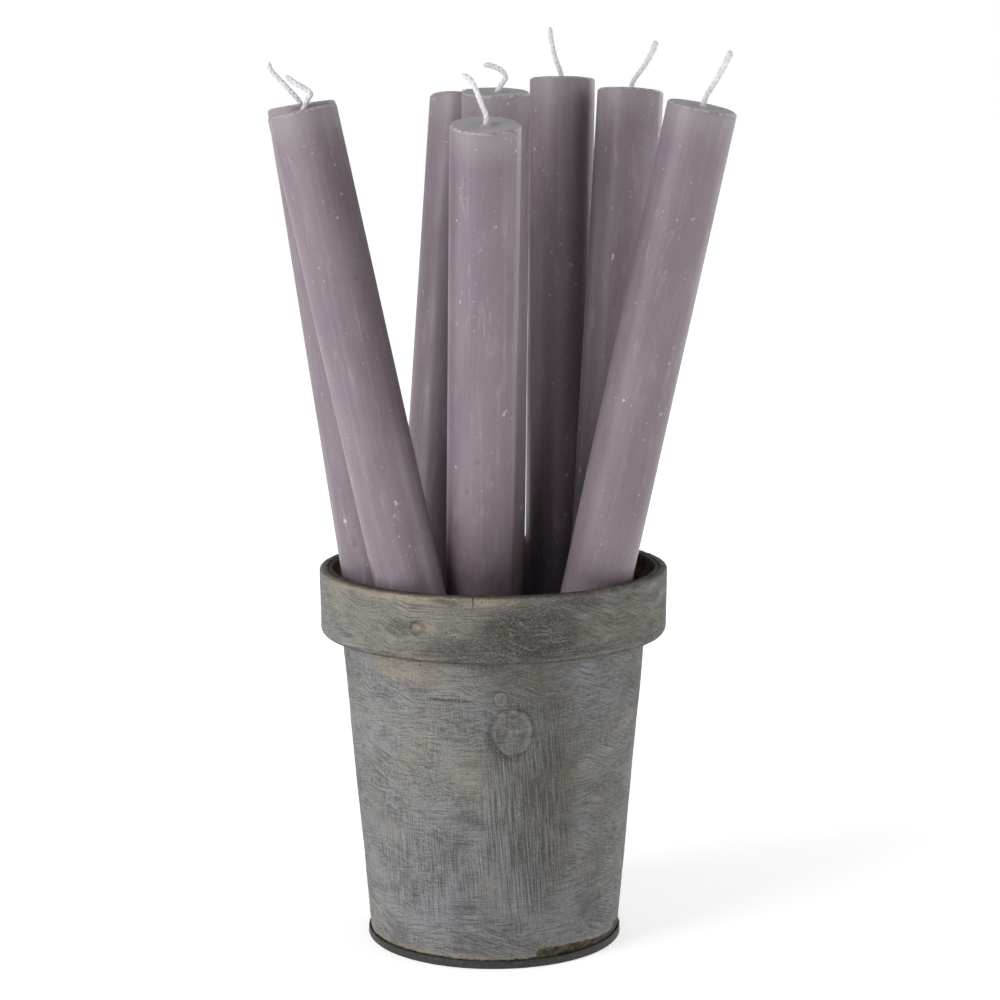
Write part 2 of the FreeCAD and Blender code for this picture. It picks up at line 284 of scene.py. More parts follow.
def node_points(node):
    """All mesh points of a CAD node, in metres."""
    mesh = frame["nodes"][node].data
    flat = np.zeros(len(mesh.vertices) * 3)
    mesh.vertices.foreach_get("co", flat)
    return flat.reshape(-1, 3)


def outer_radius(node):
    """Function that gives a turned node's outer radius at a height, in millimetres."""
    points = node_points(node) / MM
    radius = np.hypot(points[:, 0], points[:, 1])
    level = np.round(points[:, 2], 1)
    heights = np.unique(level)
    widest = [radius[level == h].max() for h in heights]
    return lambda height: np.interp(height, heights, widest)


def candle_frame(number):
    """Place of a candle (foot centre, +Z up its length), its length and radius, from its CAD wax."""
    joint = next(j for j in frame["joints"] if j["child"] == f"candle_{number}")
    up = Vector(joint["axis"]).normalized()
    right = (Vector((1, 0, 0)) - up * up.x).normalized()
    turn = np.array([right, up.cross(right), up])
    local = node_points(f"candle_wax_{number}") @ turn.T
    low, high = local.min(0), local.max(0)
    foot = turn.T @ np.array([(low[0] + high[0]) / 2, (low[1] + high[1]) / 2, low[2]])
    place = Matrix(turn.T.tolist()).to_4x4()
    place.translation = Vector(foot)
    return place, (high[2] - low[2]) / MM, (high[0] - low[0]) / 2 / MM


# ---------------------------------------------------------------- wax and wicks

def wax_material(number):
    """Mauve-grey wax: paler at the crown and on the top face, both painted light, faint upright streaks,
    pale flecks and dark pits.
    """
    g = Graph(f"wax_{number}")
    shift = number * 7.3
    cloud = g.ramp(g.noise((11, 11, 34), detail=4.0, shift=shift), 0.34, 0.66)
    colour = g.blend(cloud, (0.195, 0.147, 0.181), (0.228, 0.181, 0.215))
    streak = g.ramp(g.noise((1.3, 1.3, 70), detail=3.0, shift=shift), 0.50, 0.72)
    colour = g.blend(g.times(streak, 0.11), colour, (0.40, 0.355, 0.395))
    dark_streak = g.ramp(g.noise((1.0, 1.0, 45), detail=3.0, shift=shift + 6), 0.54, 0.76)
    colour = g.blend(g.times(dark_streak, 0.12), colour, (0.13, 0.095, 0.12))
    # painted light: the top of the candle is made paler and greyer, standing in for light glowing through
    # the wax
    colour = g.blend(g.times(g.layer("crown"), 0.50), colour, (0.325, 0.300, 0.330))
    bloom = g.ramp(g.noise((3.0, 3.0, 13), detail=5.0, rough=0.72, shift=shift + 1), 0.54, 0.72)
    colour = g.blend(g.times(bloom, 0.30), colour, (0.42, 0.385, 0.415))
    mottle = g.noise((0.8, 0.8, 1.4), detail=3.0, rough=0.7, shift=shift + 9)
    colour = g.blend(g.ramp(mottle, 0.56, 0.76, 0.0, 0.16), colour, (0.44, 0.40, 0.43))
    crowded = g.ramp(g.noise((12, 12, 26), detail=2.0, shift=shift + 12), 0.44, 0.62, 0.12, 1.0)
    dust = g.times(g.flecks(1.5, 0.50, 0.25, shift + 8), crowded)
    small = g.times(g.flecks(2.8, 0.55, 0.21, shift), g.ramp(crowded, 0.1, 0.7, 0.45, 1.0))
    large = g.flecks(6.5, 0.70, 0.12, shift + 5, squeeze=1.7)
    fleck = g.most(g.times(dust, 0.7), g.most(small, large))
    faint = g.ramp(g.noise((5, 5, 5), detail=1.0, shift=shift + 15), 0.40, 0.60, 0.35, 1.0)
    colour = g.blend(g.times(g.times(fleck, faint), 0.66), colour, (0.68, 0.655, 0.68))
    # painted light: the top face is made paler, as if lit from above
    colour = g.blend(g.times(g.layer("face"), 0.85), colour, (0.46, 0.44, 0.465))
    scuff = g.ramp(g.noise((1.2, 1.2, 0.8), detail=4.0, shift=shift + 2), 0.36, 0.62)
    colour = g.blend(g.times(g.layer("rim"), g.times(scuff, 0.8)), colour, (0.60, 0.58, 0.61))
    colour = g.blend(g.times(g.layer("pit"), 0.7), colour, (0.085, 0.06, 0.075))
    ripple = g.noise((0.9, 0.9, 5), detail=4.0, shift=shift + 3)
    g.bump(g.add(g.times(ripple, 0.5), g.times(fleck, 0.6)), 0.12, 0.35)
    sheen = g.ramp(g.noise((5, 5, 20), detail=3.0, shift=shift + 4), 0.3, 0.7, 0.36, 0.5)
    g.set(Base_Color=colour, Roughness=sheen, IOR=1.5, Subsurface_Weight=0.4)
    g.set(Subsurface_Radius=(1.0, 0.55, 0.75), Subsurface_Scale=0.0022)
    return g.material


def wick_material():
    """Waxed white cotton."""
    g = Graph("wick_cotton")
    fibre = g.noise((0.7, 0.7, 2.2), detail=2.0)
    colour = g.blend(g.ramp(fibre, 0.35, 0.7), (0.66, 0.65, 0.69), (0.82, 0.81, 0.84))
    g.set(Base_Color=colour, Roughness=0.75)
    return g.material


def make_wax(number):
    place, length, radius = candle_frame(number)
    rng = np.random.default_rng(100 + number)
    crown = 1.1
    top = length - 0.02
    arc = round_corner((radius - crown, top - crown), crown, 0, 90, 7)
    corners = [(0.85, 0.0), (radius - 0.6, 0.0), (radius, 0.6), (radius, top - 9.0), *arc]
    gaps = [1.3, 0.3, 0.6, 0.42] + [1.0] * (len(arc) - 1) + [0.35, 0.2, 0.2, 9.0]
    corners += [(2.3, top - 0.3), (1.0, top - 0.05), (0.85, top - 0.05)]
    outline = outline_points(corners, gaps)
    rows = lathe(outline, np.linspace(0, 2 * math.pi, 120, endpoint=False))
    points = rows.reshape(-1, 3)
    height = points[:, 2] / MM
    across = np.hypot(points[:, 0], points[:, 1]) / MM
    side = step(across, radius - 2.0, radius - 0.3)

    ridges = np.abs(rough_noise(points, (2.6, 2.6, 160), number * 11, 2))
    swell = 0.5 + 0.5 * rough_noise(points, (30, 30, 45), number * 13, 2)
    dents = np.zeros(len(points))
    pits = np.zeros(len(points))
    for _ in range(13):
        bearing, level = rng.uniform(0, 2 * math.pi), rng.uniform(18, length - 8)
        size, depth = rng.uniform(0.45, 1.0), rng.uniform(0.12, 0.4)
        centre = np.array([radius * math.cos(bearing), radius * math.sin(bearing), level]) * MM
        away = np.linalg.norm((points - centre) / MM, axis=1) / size
        away *= 1 + 0.35 * rough_noise(points, 1.1, number * 17, 1)
        dents += depth * np.exp(-away ** 2)
        pits = np.maximum(pits, np.exp(-away ** 2 * 2.2) * (depth / 0.4))
    chips = step(rough_noise(points, (2.4, 2.4, 1.6), number * 19, 2), 0.28, 0.5)
    near_crown = step(height, top - 2.0, top - 0.4)
    sink = side * (0.12 - 0.10 * ridges - 0.10 * swell - dents - 0.12 * chips * near_crown)
    push_out(rows, sink.reshape(rows.shape[:2]))
    face = step(height, top - 1.2, top - 0.2) * step(across, 1.0, 2.5)
    drop = face * (0.1 + 0.12 * rough_noise(points, 4.0, number * 23, 2))
    rows[..., 2] -= drop.reshape(rows.shape[:2]) * MM
    wax = grid_object(f"wax_stick_{number}", rows)
    rim = step(across, radius - 1.5, radius - 0.9) * step(height, top - 0.9, top - 0.25)
    add_layer(wax, "rim", rim)
    # face layer: where the painted light on the top face is laid on
    add_layer(wax, "face", step(height, top - 0.5, top - 0.1) * step(across, radius - 0.6, radius - 1.6))
    # crown layer: where the painted light near the top is laid on
    add_layer(wax, "crown", step(height + 1.8 * rough_noise(points, 6.0, number, 2), top - 13, top - 1))
    add_layer(wax, "pit", pits)
    wax.matrix_world = place
    paint_over(wax, wax_material(number))
    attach(wax, f"candle_{number}")
    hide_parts(f"candle_wax_{number}")


# Free end of each wick: millimetres right, away and up from where it leaves the wax.
WICK_ROUTES = {
    1: [(1.6, 0.0, 2.6), (2.7, 0.0, 4.6), (1.2, 0.3, 6.0), (-2.2, 0.8, 8.0), (-4.8, 1.0, 9.8)],
    2: [(-0.8, 0.0, 1.2), (-4.6, 0.0, 5.4), (-8.8, 0.4, 9.8), (-10.0, 0.4, 12.6)],
    3: [(0.5, 0.8, 1.4), (2.6, 1.8, 1.9), (5.2, 2.4, 1.6), (6.9, 2.2, 1.3)],
    4: [(1.9, 0.0, 2.2), (3.0, 0.3, 4.2), (1.7, 0.6, 6.2), (-1.2, 0.6, 7.6), (-3.7, 0.4, 8.1)],
    5: [(0.1, -0.2, 2.4), (-1.4, -0.8, 6.2), (-3.1, -1.3, 10.6), (-4.7, -1.4, 13.0), (-6.8, -1.2, 14.1)],
    6: [(-1.0, 0.0, 2.9), (-2.4, 0.2, 6.6), (-3.6, 0.4, 12.2), (-4.0, 0.4, 16.0)],
    7: [(0.7, 0.0, 2.4), (3.0, 0.4, 5.6), (5.7, 0.7, 9.6), (8.2, 0.9, 15.0)],
    8: [(1.1, 0.0, 2.9), (3.0, 0.4, 5.8), (5.2, 0.8, 9.4), (8.4, 1.0, 15.8)],
}
WICK_TIP_SWELL = {7: 1.35, 8: 1.3}


def smooth_line(points, count):
    """Catmull-Rom curve through the points, evenly stepped between them."""
    points = np.asarray(points, float)
    padded = np.vstack([2 * points[0] - points[1], points, 2 * points[-1] - points[-2]])
    result = []
    for n in range(len(points) - 1):
        a, b, c, d = padded[n:n + 4]
        for t in np.linspace(0, 1, count, endpoint=False):
            result.append(
                0.5 * (2 * b + (c - a) * t + (2 * a - 5 * b + 4 * c - d) * t * t
                       + (3 * b - a - 3 * c + d) * t ** 3)
            )
    result.append(points[-1])
    return np.array(result)


def line_frames(line):
    """Tangent and two steady side directions at each point of a line."""
    tangents = np.gradient(line, axis=0)
    tangents /= np.linalg.norm(tangents, axis=1)[:, None]
    side = np.cross(tangents[0], [0.3, 1.0, 0.1])
    sides = []
    for tangent in tangents:
        side = side - tangent * side.dot(tangent)
        side /= np.linalg.norm(side)
        sides.append(side)
    sides = np.array(sides)
    return tangents, sides, np.cross(tangents, sides)


def tube(line, radii, corners=8):
    """Points and faces of a closed tube along a line."""
    _, sides, ups = line_frames(line)
    turns = np.linspace(0, 2 * math.pi, corners, endpoint=False)
    ring = sides[:, None] * np.cos(turns)[None, :, None] + ups[:, None] * np.sin(turns)[None, :, None]
    points = (line[:, None] + ring * np.asarray(radii)[:, None, None]).reshape(-1, 3)
    faces = []
    for n in range(len(line) - 1):
        for k in range(corners):
            after = (k + 1) % corners
            faces.append((n * corners + k, n * corners + after,
                          (n + 1) * corners + after, (n + 1) * corners + k))
    faces.append(tuple(range(corners))[::-1])
    faces.append(tuple((len(line) - 1) * corners + k for k in range(corners)))
    return points, faces


def make_wick(number):
    """Plain run up the bore, then three plaited strands to the free tip."""
    place, length, _ = candle_frame(number)
    into_candle = np.array(place.to_3x3().inverted())
    exit_point = np.array([0.0, 0.0, length])
    free = [exit_point + into_candle @ np.array(p) for p in WICK_ROUTES[number]]
    line = smooth_line([exit_point - (0, 0, 4.0), exit_point - (0, 0, 1.0), *free], 14)
    _, sides, ups = line_frames(line)
    run = np.concatenate([[0], np.cumsum(np.linalg.norm(np.diff(line, axis=0), axis=1))])
    tip = run[-1]
    swell = 1 + (WICK_TIP_SWELL.get(number, 1.0) - 1) * step(run, tip * 0.45, tip)
    points, faces = [], []
    for strand in range(3):
        phase = run / 5.0 * 2 * math.pi + strand * 2 * math.pi / 3
        offset = sides * np.sin(phase)[:, None] * 0.27 + ups * np.sin(2 * phase)[:, None] * 0.16
        end = tip - (0.0, 0.5, 0.25)[strand]
        body = np.clip((end - run) / 0.5, 0.12, 1) ** 0.5
        keep = run <= end + 0.3
        add_tube(points, faces, (line + offset * swell[:, None])[keep], (0.56 * swell * body)[keep])
    rod = np.array([[0, 0, z] for z in (0.1, length * 0.3, length * 0.6, length - 3.0)])
    add_tube(points, faces, rod, [0.78] * len(rod))
    mesh = bpy.data.meshes.new(f"wick_{number}")
    mesh.from_pydata((np.vstack(points) * MM).tolist(), [], faces)
    mesh.shade_smooth()
    wick = link_object(f"wick_{number}", mesh)
    wick.matrix_world = place
    paint_over(wick, wick_cotton)
    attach(wick, f"candle_{number}")
    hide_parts(f"candle_wick_{number}")


def add_tube(points, faces, line, radii):
    """Append a tube to growing lists of points and faces."""
    start = sum(len(p) for p in points)
    new_points, new_faces = tube(line, radii)
    points.append(new_points)
    faces.extend(tuple(start + k for k in face) for face in new_faces)


# ---------------------------------------------------------------- the pot's paint

def darker(colour, share):
    return tuple(c * share for c in colour)


def brushed(g, across_mm, along_mm, turn_deg, shift):
    """Fine brush lines on the unrolled wall, turned from level. Reads the mesh layer around."""
    around = g.layer("around")
    level = g.times(g.split()[2], 1 / MM)
    cosine, sine = math.cos(math.radians(turn_deg)), math.sin(math.radians(turn_deg))
    place = g.tree.nodes.new("ShaderNodeCombineXYZ")
    along = g.add(g.times(around, cosine / along_mm), g.times(level, sine / along_mm))
    across = g.add(g.times(around, -sine / across_mm), g.times(level, cosine / across_mm))
    g.feed(place.inputs[0], along)
    g.feed(place.inputs[1], shift)
    g.feed(place.inputs[2], across)
    lines = g.tree.nodes.new("ShaderNodeTexNoise")
    lines.inputs["Scale"].default_value = 1.0
    lines.inputs["Detail"].default_value = 2.5
    lines.inputs["Roughness"].default_value = 0.6
    g.feed(lines.inputs["Vector"], place.outputs[0])
    return g.ramp(lines.outputs[0], 0.38, 0.64)


def painted_metal(name, warm, cool, level_share, canvas_share, swirl_share):
    """Brushed-on paint over dark metal, with level and upright brush lines in patches, and painted shade
    from the mesh layers.

    Reads the mesh layers around, dark, beige, blue, grime, upright and bare.
    """
    g = Graph(name)
    tone = g.ramp(g.noise((24, 24, 18), detail=4.0, warp=0.6), 0.40, 0.62)
    colour = g.blend(g.most(g.times(tone, 0.6), g.layer("blue")), warm, cool)
    cloud = g.noise((8, 8, 6), detail=6.0, rough=0.66, warp=0.9, shift=4.0)
    colour = g.blend(g.ramp(cloud, 0.44, 0.72, 0.0, 0.5), colour, darker(warm, 0.62))
    # painted shade: this layer darkens the side away from the main lamp, over some uneven grime
    colour = g.blend(g.times(g.layer("shade_and_grime"), 0.62), colour, darker(warm, 0.36))

    patch_a = g.ramp(g.noise((13, 13, 11), detail=2.0, shift=21.0), 0.42, 0.58)
    patch_b = g.ramp(g.noise((15, 15, 12), detail=2.0, shift=27.0), 0.42, 0.58)
    level = brushed(g, 0.45, 14, 2, 2.0)
    slanted = brushed(g, 0.45, 9, -21, 5.0)
    rising = brushed(g, 0.45, 9, 13, 14.0)
    upright = brushed(g, 0.42, 15, 94, 8.0)
    thread_up = brushed(g, 0.42, 5, 92, 31.0)
    thread_level = brushed(g, 0.40, 5, -3, 33.0)
    canvas = g.times(g.add(thread_up, thread_level), canvas_share)
    worm = g.noise((1.8, 1.8, 1.2), detail=5.0, rough=0.70, warp=1.8, shift=11.0)
    grain = g.noise((0.42, 0.42, 0.42), detail=3.0, rough=0.75, shift=9.0)
    lines = g.split(g.blend(patch_a, level, slanted))[0]
    lines = g.split(g.blend(g.times(patch_b, 0.6), lines, rising))[0]
    lines = g.split(g.blend(g.layer("upright"), lines, upright))[0]
    rubbed = g.ramp(g.noise((17, 17, 12), detail=3.0, shift=37.0), 0.36, 0.62, 0.35, 1.15)
    weave = g.add(g.times(lines, level_share), g.times(canvas, rubbed))
    weave = g.add(weave, g.ramp(grain, 0.35, 0.65, 0.0, 0.42))
    weave = g.add(weave, g.times(g.layer("upright"), g.ramp(upright, 0.3, 0.9, 0.0, 0.22)))
    colour = g.blend(g.ramp(weave, 0.46, 0.98, 0.0, 0.80), colour, darker(warm, 0.24))
    colour = g.blend(g.ramp(weave, 0.42, 0.14, 0.0, 0.45), colour, darker(cool, 1.5))

    beige = g.times(g.layer("beige"), g.ramp(worm, 0.38, 0.54))
    colour = g.blend(beige, colour, (0.32, 0.262, 0.185))
    scraped = g.add(g.times(worm, 0.6), g.add(g.times(lines, 0.18), g.times(grain, 0.25)))
    # near-black where the dark layer shows through: dark paint, and painted shadow under the collar, round
    # the patch and on the right
    dark = g.times(g.layer("dark"), g.ramp(scraped, 0.35, 0.48))
    colour = g.blend(dark, colour, (0.030, 0.026, 0.022))
    pale = g.times(g.layer("dark"), g.ramp(worm, 0.57, 0.61))
    colour = g.blend(g.times(pale, 0.5), colour, (0.32, 0.28, 0.22))
    swirl = g.math("ABSOLUTE", g.math("SUBTRACT", g.math("FRACT", g.times(worm, 7.0)), 0.5))
    swirled = g.most(g.times(g.layer("dark"), 0.75), g.times(patch_b, swirl_share))
    colour = g.blend(g.times(g.ramp(swirl, 0.15, 0.03), swirled), colour, darker(warm, 0.15))
    colour = g.blend(g.times(g.ramp(swirl, 0.38, 0.48), g.times(swirled, 0.5)), colour, darker(warm, 1.5))
    speck = g.flecks(2.0, 0.22, 0.13, shift=1.0)
    colour = g.blend(g.times(speck, 0.5), colour, (0.44, 0.42, 0.38))
    rust = g.noise((2.6, 2.6, 1.6), detail=5.0, rough=0.7, shift=13.0)
    metal = g.blend(g.ramp(rust, 0.40, 0.58), (0.018, 0.014, 0.010), (0.092, 0.068, 0.036))
    # bare also carries the painted shadow lines under the collar and along its lower edge
    bare = g.layer("bare")
    colour = g.blend(bare, colour, metal)
    height = g.add(g.times(weave, -1.0), g.times(bare, -0.6))
    g.bump(height, 0.2, 0.45)
    g.set(Base_Color=colour, Roughness=g.ramp(cloud, 0.3, 0.7, 0.62, 0.8), IOR=1.42)
    return g.material


def ring_material():
    """Dark rusted crimp with worn grey specks."""
    g = Graph("rusted_ring")
    rust = g.noise((2.2, 2.2, 0.9), detail=6.0, rough=0.7)
    wear = g.ramp(g.noise((1.6, 1.6, 0.5), detail=5.0, rough=0.75, shift=3.0), 0.55, 0.68)
    colour = g.blend(g.ramp(rust, 0.4, 0.65), (0.012, 0.011, 0.010), (0.038, 0.033, 0.028))
    colour = g.blend(g.times(wear, 0.5), colour, (0.17, 0.165, 0.155))
    g.bump(rust, 0.2, 0.5)
    g.set(Base_Color=colour, Roughness=g.ramp(rust, 0.3, 0.7, 0.42, 0.7))
    return g.material


def stained_tin():
    """Dull sheet inside and under the pot."""
    g = Graph("bare_tin")
    stain = g.noise((12, 12, 8), detail=6.0, rough=0.65)
    scratch = g.noise((1.0, 18, 4), detail=3.0, shift=2.0)
    colour = g.blend(g.ramp(stain, 0.4, 0.66), (0.27, 0.265, 0.25), (0.13, 0.125, 0.115))
    colour = g.blend(g.ramp(scratch, 0.6, 0.75, 0.0, 0.4), colour, (0.36, 0.35, 0.33))
    g.bump(scratch, 0.08, 0.3)
    g.set(Base_Color=colour, Roughness=g.ramp(stain, 0.3, 0.7, 0.4, 0.65))
    return g.material


# ---------------------------------------------------------------- the pot's shapes

def bearing_right(points):
    """Degrees round the pot from the front (-Y), positive to the right (+X)."""
    return np.degrees(np.arctan2(points[:, 0], -points[:, 1]))


def spot(points, right_deg, level, wide_deg, tall):
    """1 at a spot on the pot, falling to 0 at its edge."""
    sideways = (bearing_right(points) - right_deg) / wide_deg
    upward = (points[:, 2] / MM - level) / tall
    return step(1 - np.hypot(sideways, upward), 0.0, 0.6)


def make_wall():
    """Conical wall with a dented, brushed surface and chipped paint at its foot, and painted shade under
    the collar, round the patch and on its right.
    """
    radius_at = outer_radius("pot_wall")
    low, high = (corner.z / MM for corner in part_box("pot_wall"))
    collar_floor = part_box("collar_band")[0].z / MM
    foot_band, neck, hem_low = 9.0, 112.0, high - 4.0
    skin, hem = 0.8, 1.4
    levels = (low, foot_band, collar_floor, neck, high)
    foot, above_foot, under_collar_radius, throat, mouth = (float(radius_at(z)) for z in levels)
    lip = round_corner((mouth - 0.6, high - 0.6), 0.6, 0, 90, 4)
    lip += round_corner((mouth - hem + 0.6, high - 0.6), 0.6, 90, 180, 4)
    corners = [
        (foot - skin, low), (foot, low), (above_foot, foot_band),
        (under_collar_radius, collar_floor), (throat, neck), (mouth, hem_low),
        *lip, (mouth - hem, hem_low), (throat - skin, neck),
        (under_collar_radius - skin, collar_floor),
    ]
    gaps = [1.0, 0.25, 0.5, 3.0, 1.5, 1.5] + [1.0] * (len(lip) - 1) + [1.0, 1.0, 1.5, 3.0]
    gaps += [3.0] * (len(corners) - len(gaps))
    outline = outline_points(corners, gaps)
    rows = lathe(outline, np.linspace(0, 2 * math.pi, 640, endpoint=False))
    points = rows.reshape(-1, 3)
    level = points[:, 2] / MM
    across = np.hypot(points[:, 0], points[:, 1]) / MM
    turn = bearing_right(points)
    outside = step(across - radius_at(level), -0.6, -0.2) * step(level, 118.5, 117.0)

    ragged = rough_noise(points, (3.0, 3.0, 1.2), 41, 4)
    chip = step(turn, 19.0, 20.0) * step(turn, 84.0, 80.0)
    chip_top = 5.6 - 1.2 * step(turn, 30, 66) + 1.7 * step(turn, 70.5, 71.5)
    edge = 2.75 + 0.9 * np.clip(ragged, -0.5, 0.9)
    edge = edge + chip * (chip_top - edge + 0.35 * ragged)
    bare = step(edge - level, -0.12, 0.12) * outside
    nicks = step(rough_noise(points, (2.4, 2.4, 1.8), 43, 3), 0.62, 0.70) * step(level, 24, 6) * outside
    bare = np.maximum(bare, nicks)
    above_edge = level - edge
    left_side = 0.35 + 0.65 * step(turn, 15, -40)
    beige = step(above_edge, 2.4, 0.1) * step(above_edge, -0.1, 0.1) * left_side
    beige = np.maximum(beige, 0.55 * spot(points, -34, 96, 26, 9))
    beige = np.maximum(beige, 0.30 * step(rough_noise(points, (16, 16, 12), 45, 2), 0.15, 0.5))
    # painted shadow: the band of wall just under the collar is darkened where the collar shades it
    collar_shadow = step(level, collar_floor - 2.2, collar_floor - 0.3)
    collar_shadow = collar_shadow * (0.5 + 0.5 * spot(points, 4, 98, 34, 8))
    # dark layer starts with painted shadow under the collar and round the oval patch
    dark = np.maximum(0.95 * collar_shadow, 0.8 * boss_shadow(points))
    # partly dark paint, partly painted shade: dark spots over the centre and right of the front, away from
    # the main lamp
    dark = np.maximum(dark, 0.55 * spot(points, 14, 88, 22, 13))
    dark = np.maximum(dark, 0.40 * spot(points, 20, 52, 20, 42))
    dark = np.maximum(dark, 0.30 * spot(points, 75, 88, 22, 16))
    dark = np.maximum(dark, 0.35 * step(rough_noise(points, (20, 20, 14), 47, 3), 0.2, 0.55))
    scratch = spot(points, -15, 86.0, 13, 0.55)
    # painted shadow: a thin dark line on the wall right under the collar, laid into both the dark and bare
    # layers
    collar_shadow_line = step(level, collar_floor - 1.5, collar_floor - 0.5)
    dark = np.maximum(dark, np.maximum(scratch, collar_shadow_line))
    # painted shade: the wall from the front round to its right side, away from the main lamp, is darkened,
    # unevenly
    shade_and_grime = 0.75 * step(turn, -40, 8) * step(turn, 120, 95)
    shade_and_grime = shade_and_grime * (0.82 + 0.6 * rough_noise(points, (22, 22, 26), 59, 2))

    dents = 0.28 * rough_noise(points, (26, 26, 22), 49, 2)
    dents = dents + 0.05 * rough_noise(points, (3, 3, 2.2), 51, 2)
    strokes = 0.045 * rough_noise(points, (0.9, 0.9, 16), 53, 1)
    lift = outside * (dents - 0.12 + strokes - 0.16 * bare - 0.12 * scratch)
    push_out(rows, lift.reshape(rows.shape[:2]))
    wall = grid_object("wall_painted", rows)
    # bare: chipped and nicked paint, the inside, and the painted shadow line under the collar
    add_layer(wall, "bare", np.maximum(np.maximum(bare, 0.8 * collar_shadow_line), 0.85 * (1 - outside)))
    add_layer(wall, "shade_and_grime", np.clip(shade_and_grime, 0, 1) * outside)
    add_layer(wall, "beige", np.clip(beige, 0, 1) * outside)
    # dark layer: dark paint, the scratch, painted shade under the collar, round the patch and on the right,
    # and the inside
    add_layer(wall, "dark", np.clip(dark, 0, 1) * outside + 0.9 * (1 - outside))
    blue = 0.75 * spot(points, -22, 30, 46, 34) + 0.55 * spot(points, 40, 88, 30, 14)
    blue += 0.45 * spot(points, -48, 90, 24, 12)
    blue += 0.4 * step(rough_noise(points, (18, 18, 10), 55, 2), 0.1, 0.4)
    add_layer(wall, "around", np.radians(turn) * radius_at(level))
    add_layer(wall, "blue", np.clip(blue, 0, 1) * outside)
    strip = spot(points, 14, 50, 26, 48)
    strip += 0.6 * step(rough_noise(points, (22, 22, 40), 57, 2), 0.15, 0.45)
    add_layer(wall, "upright", np.clip(strip, 0, 1) * outside)
    paint_over(wall, body_paint)
    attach(wall, "pot")
    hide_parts("pot_wall")


def boss_ellipse():
    """Centre and half sizes (across, up) of the oval patch, in millimetres."""
    low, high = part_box("front_boss")
    centre = (low + high) / 2 / MM
    return centre.x, centre.z, (high.x - low.x) / 2 / MM, (high.z - low.z) / 2 / MM


def boss_shadow(points):
    """Painted shadow round the oval patch, strongest below it and to its left."""
    x, z, half_x, half_z = boss_ellipse()
    sideways = (points[:, 0] / MM - x) / half_x
    upward = (points[:, 2] / MM - z) / half_z
    away = np.hypot(sideways, upward)
    near = step(away, 0.8, 0.98) * step(away, 1.42, 1.05) * (points[:, 1] < 0)
    lower_left = step(-0.55 * sideways - 0.85 * upward, -0.2, 1.0)
    return near * (0.35 + 0.65 * lower_left)


